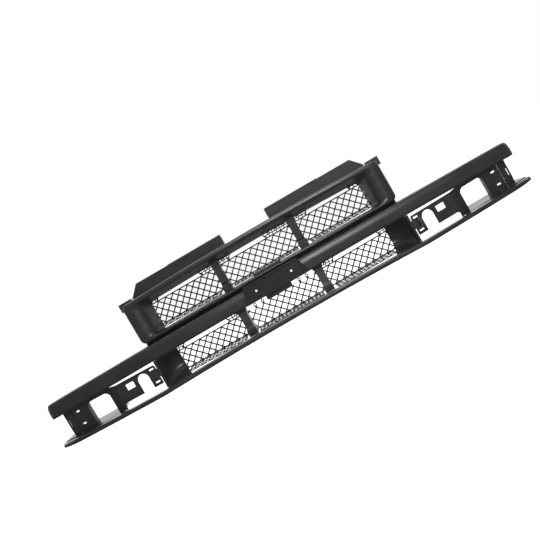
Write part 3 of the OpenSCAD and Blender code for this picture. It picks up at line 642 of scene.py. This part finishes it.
def lip_ring(x, half):
    """The lip at one station: ledge, rounded front band and the hollow behind the band."""
    t = max(0.0, (abs(x) - (half - TIP_LEN)) / TIP_LEN)
    shrink = 1 - TIP_SHRINK * t * t
    wall = WALL * shrink
    back, rise = TIP_BACK * t * t, TIP_DROP * t * t
    front, top = bow(x) - LIP_AHEAD + back, LIP_TOP - lip_sag(x) - rise
    bottom, depth = top - LIP_H * shrink, LIP_LEDGE - back - 2 * CLEAR
    nose_depth, upper, lower = NOSE_R[0], NOSE_R[1] * shrink, NOSE_R[2] * shrink
    nose = (arc(front + nose_depth, top - upper, nose_depth, upper, 90, 180, 8)
            + arc(front + nose_depth, bottom + lower, nose_depth, lower, 180, 255, 8))
    outside = [(front + depth, top + rise), (front + depth * 0.6, top + rise * 0.7), (front + 10, top)]
    inside = [(front + HOLLOW[1], bottom), (front + HOLLOW[1], bottom + wall),
              (front + HOLLOW[0], bottom + wall + 1), (front + HOLLOW[0], top - wall),
              (front + depth, top + rise - wall)]
    return [(x, y, z) for y, z in outside + nose + inside]


def build_lip():
    """The bottom lip, from tip to tip."""
    rings = [lip_ring(x, LIP_HALF) for x in spaced(-LIP_HALF, LIP_HALF, LIP_STEPS)]
    lip = solid("bottom_lip_moulded", loft(rings, closed_rings=True, caps=True))
    finish_own(lip, "bottom_lip")


# ---- Pillars ----

PILLAR_X = (344.0, 415.0)     # inner and outer side
PILLAR_TOP = -215.0
PILLAR_NOSE = (8.0, 5.0)      # width and radius of the rounding before the outer wall
PILLAR_BACK = 48.8     # how far ahead of the bolt line the hollow face starts, beside the bay
OUTER_WALL = (14.0, 36.0)     # the outer wall's two edges behind the pillar's front
SCOOP_H = 34.0     # height over which a pillar's hollow face sweeps forward to the lip
FOOT_FLARE = 9.0   # how far its foot spreads into the bay


def pillar_plan():
    """The pillar's hollow face and outer wall seen from above, from the bay outwards."""
    near, far = PILLAR_X
    width, radius = PILLAR_NOSE
    y_front = bow(far) - PORT_AHEAD + 5
    y_back = bow(near) - PILLAR_BACK
    face = []
    for degrees in spaced(0, 88, 28):
        a = math.radians(degrees)
        face.append((mix(near, far - width, math.sin(a)), mix(y_front + 3, y_back, math.cos(a))))
    nose = arc(far - radius, y_front + radius, radius, radius, -110, 0, 8)
    return face + nose + [(far, y_front + depth) for depth in OUTER_WALL], y_front


def build_pillar(name, side_sign):
    """One pillar: its plan carried up from the lip, swept forward at the foot."""
    plan, y_front = pillar_plan()
    rows = []
    for t in spaced(0, 1, 20):
        row = []
        for x, y in plan:
            low, high = LIP_TOP - lip_sag(x) + 0.4, PILLAR_TOP - sag(x) * 0.3
            z = mix(low, high, t)
            reach = max(0.0, 1 - (z - low) / SCOOP_H) ** 2.4
            flare = FOOT_FLARE * reach * max(0.0, 1 - (x - PILLAR_X[0]) / 20)
            row.append((side_sign * (x - flare), mix(y, min(y, y_front + 2), reach * 0.9), z))
        rows.append(row)
    pillar = skin("pillar_" + name + "_moulded", loft(rows), towards=(-side_sign * 0.3, -1, 0))
    finish_own(pillar, "pillar_" + name, edge=0.6)


# ---- Build ----

SLOT_OF = {row["node"]: row["material_slot"] for row in frame["record"]["subparts"]}
# Edge rounding of each material's pieces
EDGES = {"moulded_black": 0.8, "insert_black": 0.8, "pad_black": 1.2, "seal_rubber": 0.7,
         "zinc_screw": 0.4}
OWN_MESH = {"port_surround", "centre_bar", "bottom_lip", "pillar_left", "pillar_right"}

build_port()
build_bar()
build_lip()
for side_name, side_sign in SIDES.items():
    build_pillar(side_name, side_sign)
for node, slot_name in SLOT_OF.items():
    if node not in OWN_MESH:
        moulded_copy(node, slot_name, EDGES[slot_name])

# ---- Studio ----

FLOOR_DROP = 450.0     # how far the floor lies below the object
FLOOR_HALF = 12000.0
LIGHT_AIM = Vector((0, -0.045, -0.16))     # metres
SOFTBOXES = {          # azimuth, elevation, distance in metres, size in metres, watts
    "key": (12, 31, 3.2, (0.8, 1.7), 105),
    "top": (0, 88, 2.6, (2.6, 0.9), 30),
}
CAMERA_AIM = Vector((2.6, -45, -158.5)) * MM
CAMERA_DISTANCE = 2.970     # metres
CAMERA_ANGLES = (2.44, 3.2, 30.22)     # yaw, pitch and roll
CAMERA_LENS = 69.45


def build_floor():
    """A plain pale floor, left out of the object's reflections."""
    height, corners = LIP[0].z - FLOOR_DROP, ((-1, -1), (1, -1), (1, 1), (-1, 1))
    points = [(x * FLOOR_HALF, y * FLOOR_HALF, height) for x, y in corners]
    mesh = mesh_of("floor", points, [(0, 1, 2, 3)])
    floor = loose("floor", mesh)
    made, _, _, shader = material("floor", (0.9, 0.9, 0.9), 0.9)
    shader.inputs["Emission Color"].default_value = (1, 1, 1, 1)
    shader.inputs["Emission Strength"].default_value = 0.75
    mesh.materials.append(made)
    floor.visible_glossy = False


def build_world():
    """White wherever the camera looks; for the object, bright behind it and dim in front."""
    world = bpy.data.worlds.new("studio")
    bpy.context.scene.world = world
    world.use_nodes = True
    nodes, links = world.node_tree.nodes, world.node_tree.links
    nodes.clear()
    direction = nodes.new("ShaderNodeTexCoord").outputs["Generated"]
    split = nodes.new("ShaderNodeSeparateXYZ")
    links.new(direction, split.inputs["Vector"])
    behind = ranged(nodes, links, split.outputs["Y"], 0.24, 1.9, span=(0.15, 0.95))
    above = ranged(nodes, links, split.outputs["Z"], 0.2, 1.0, span=(-0.4, 0.0))
    level = nodes.new("ShaderNodeMath")
    level.operation = "MULTIPLY"
    links.new(behind, level.inputs[0])
    links.new(above, level.inputs[1])
    seen = nodes.new("ShaderNodeLightPath").outputs["Is Camera Ray"]
    strength = nodes.new("ShaderNodeMix")
    links.new(seen, strength.inputs["Factor"])
    links.new(level.outputs["Value"], strength.inputs["A"])
    strength.inputs["B"].default_value = 1.0
    background = nodes.new("ShaderNodeBackground")
    background.inputs["Color"].default_value = (1, 1, 1, 1)
    links.new(strength.outputs["Result"], background.inputs["Strength"])
    output = nodes.new("ShaderNodeOutputWorld")
    links.new(background.outputs["Background"], output.inputs["Surface"])


def aim(location, target):
    """Matrix that looks from one point at another."""
    forward = (Vector(target) - Vector(location)).normalized()
    turn = forward.to_track_quat("-Z", "Y").to_matrix().to_4x4()
    return Matrix.Translation(Vector(location)) @ turn


def softbox(name, azimuth, elevation, distance, size, power):
    """An area light aimed at the middle of the object, placed as a view angle is."""
    a, e = math.radians(azimuth), math.radians(elevation)
    out = Vector((math.sin(a) * math.cos(e), -math.cos(a) * math.cos(e), math.sin(e)))
    light = bpy.data.lights.new(name, "AREA")
    light.shape = "RECTANGLE"
    light.size, light.size_y = size
    light.energy = power
    lamp = loose(name, light)
    lamp.matrix_world = aim(LIGHT_AIM + out * distance, LIGHT_AIM)


def build_camera():
    """Looks from slightly above and to the right, rolled so the panel's right end is up."""
    yaw, pitch, roll = (math.radians(angle) for angle in CAMERA_ANGLES)
    back = Vector((math.sin(yaw) * math.cos(pitch), -math.cos(yaw) * math.cos(pitch), math.sin(pitch)))
    right = Vector((0, 0, 1)).cross(back).normalized()
    up = back.cross(right)
    turn = Matrix((right * math.cos(roll) - up * math.sin(roll),
                   right * math.sin(roll) + up * math.cos(roll), back)).transposed()
    data = bpy.data.cameras.new("camera")
    data.sensor_width = 36
    data.lens = CAMERA_LENS
    data.clip_end = 60
    camera = loose("camera", data)
    camera.matrix_world = Matrix.Translation(CAMERA_AIM + back * CAMERA_DISTANCE) @ turn.to_4x4()
    bpy.context.scene.camera = camera


build_floor()
build_world()
for light_name, setting in SOFTBOXES.items():
    softbox(light_name, *setting)
build_camera()
bpy.context.scene.view_settings.view_transform = "Standard"
